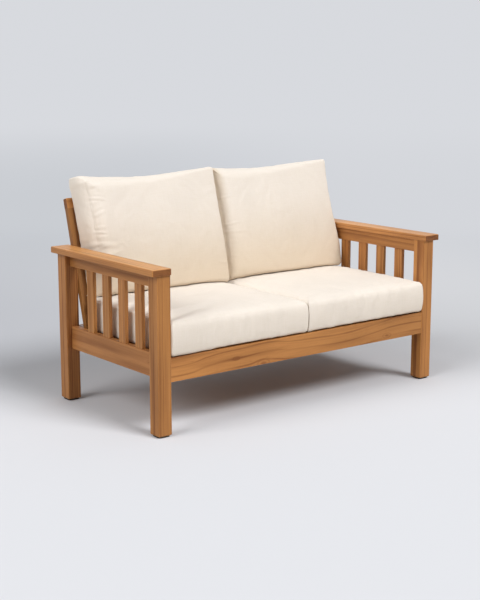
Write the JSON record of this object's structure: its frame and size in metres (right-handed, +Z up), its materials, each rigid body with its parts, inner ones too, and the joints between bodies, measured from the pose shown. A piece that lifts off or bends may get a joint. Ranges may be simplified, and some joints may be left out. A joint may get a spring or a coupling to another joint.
{
  "type": "patio loveseat",
  "caption": "Wooden patio loveseat with slatted arm frames, broad flat armrests, a raked slatted back panel and loose box cushions for seat and back.",
  "frame": {"origin": "on the floor, under the middle of the whole loveseat", "axes": "+X along the width, to the right seen from in front; +Y to the back; +Z up"},
  "size_m": [1.386, 0.7106, 0.8533],
  "materials": {
    "teak": "oiled satin",
    "cushion_fabric": "matte weave",
    "dark_plastic": "matte",
    "stainless_steel": "brushed",
    "zinc_insert": "zinc plated"
  },
  "bodies": {
    "frame": {"left_front_leg": "teak", "left_rear_leg": "teak", "left_arm_bottom_rail": "teak", "left_arm_top_rail": "teak", "left_arm_slat_1": "teak", "left_arm_slat_2": "teak", "left_arm_slat_3": "teak", "left_arm_slat_4": "teak", "left_armrest": "teak", "left_back_stile": "teak", "right_front_leg": "teak", "right_rear_leg": "teak", "right_arm_bottom_rail": "teak", "right_arm_top_rail": "teak", "right_arm_slat_1": "teak", "right_arm_slat_2": "teak", "right_arm_slat_3": "teak", "right_arm_slat_4": "teak", "right_armrest": "teak", "right_back_stile": "teak", "front_rail": "teak", "rear_rail": "teak", "centre_stretcher": "teak", "front_seat_cleat": "teak", "rear_seat_cleat": "teak", "seat_slat_1": "teak", "seat_slat_2": "teak", "seat_slat_3": "teak", "seat_slat_4": "teak", "seat_slat_5": "teak", "seat_slat_6": "teak", "seat_slat_7": "teak", "seat_slat_8": "teak", "seat_slat_9": "teak", "seat_slat_10": "teak", "seat_slat_11": "teak", "back_crest_rail": "teak", "back_bottom_rail": "teak", "back_slat_1": "teak", "back_slat_2": "teak", "back_slat_3": "teak", "back_slat_4": "teak", "back_slat_5": "teak", "back_slat_6": "teak", "back_slat_7": "teak", "back_slat_8": "teak", "back_slat_9": "teak", "back_slat_10": "teak", "armrest_screws": "stainless_steel", "seat_slat_screws": "stainless_steel", "cleat_screws": "stainless_steel", "back_rail_screws": "stainless_steel", "back_bolts": "stainless_steel", "back_bolt_inserts": "zinc_insert", "foot_glides": "dark_plastic"},
    "left_seat_cushion": {"left_seat_cushion": "cushion_fabric"},
    "right_seat_cushion": {"right_seat_cushion": "cushion_fabric"},
    "left_back_cushion": {"left_back_cushion": "cushion_fabric"},
    "right_back_cushion": {"right_back_cushion": "cushion_fabric"}
  },
  "joints": [
    {"name": "left_seat_slide", "type": "slide", "parent": "frame", "child": "left_seat_cushion", "axis": [0, -1, 0], "range_m": [0, 0.6]},
    {"name": "right_seat_slide", "type": "slide", "parent": "frame", "child": "right_seat_cushion", "axis": [0, -1, 0], "range_m": [0, 0.6]},
    {"name": "left_back_lift", "type": "slide", "parent": "frame", "child": "left_back_cushion", "axis": [0, 0.2554, 0.9668], "range_m": [0, 0.42]},
    {"name": "right_back_lift", "type": "slide", "parent": "frame", "child": "right_back_cushion", "axis": [0, 0.2554, 0.9668], "range_m": [0, 0.42]}
  ]
}
